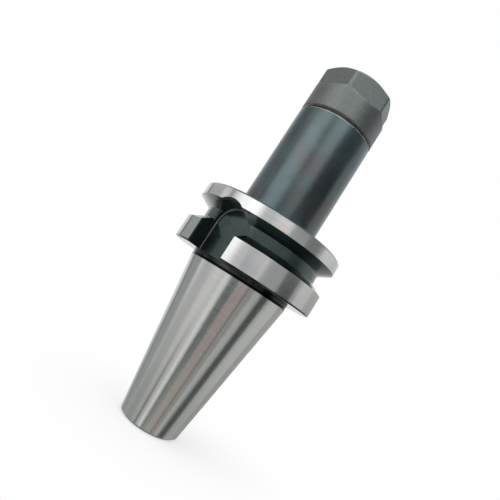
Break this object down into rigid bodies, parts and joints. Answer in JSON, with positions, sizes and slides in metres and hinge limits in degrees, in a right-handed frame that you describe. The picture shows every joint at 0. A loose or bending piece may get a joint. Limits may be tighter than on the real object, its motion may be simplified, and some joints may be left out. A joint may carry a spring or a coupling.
{
  "type": "collet chuck holder",
  "caption": "Steep-taper collet chuck: a V-grooved drive flange with key slots, a long slim neck, and a hexagon nut that draws a slit spring collet into the nose.",
  "frame": {"origin": "on the axis, at the gauge line of the taper, where it measures 44.45 mm across", "axes": "+Z along the axis from the taper towards the nut; the two drive slots lie on the Y axis, so +X and -X point at the whole rim of the flange"},
  "size_m": [0.063, 0.063, 0.1632],
  "materials": {
    "holder_steel": "ground bright on the taper and the flange rims, black oxide elsewhere",
    "nut_steel": "satin black oxide",
    "collet_steel": "ground bright spring steel",
    "screw_steel": "black oxide"
  },
  "bodies": {
    "holder": {"holder_body": "holder_steel"},
    "collet": {"spring_collet": "collet_steel"},
    "nut": {"clamping_nut": "nut_steel"},
    "stop": {"stop_screw": "screw_steel"}
  },
  "joints": [
    {"name": "collet_slide", "type": "slide", "parent": "holder", "child": "collet", "axis": [0, 0, 1], "range_m": [0, 0.009]},
    {"name": "nut_turn", "type": "hinge", "parent": "collet", "child": "nut", "pos_m": [0, 0, 0.087], "axis": [0, 0, 1], "range_deg": [0, 2160]},
    {"name": "stop_screw_travel", "type": "slide", "parent": "holder", "child": "stop", "axis": [0, 0, 1], "range_m": [-0.009, 0.0065]}
  ],
  "couplings": [
    {"joint": "nut_turn", "follows": "collet_slide", "rad_per_m": 4188.8}
  ]
}
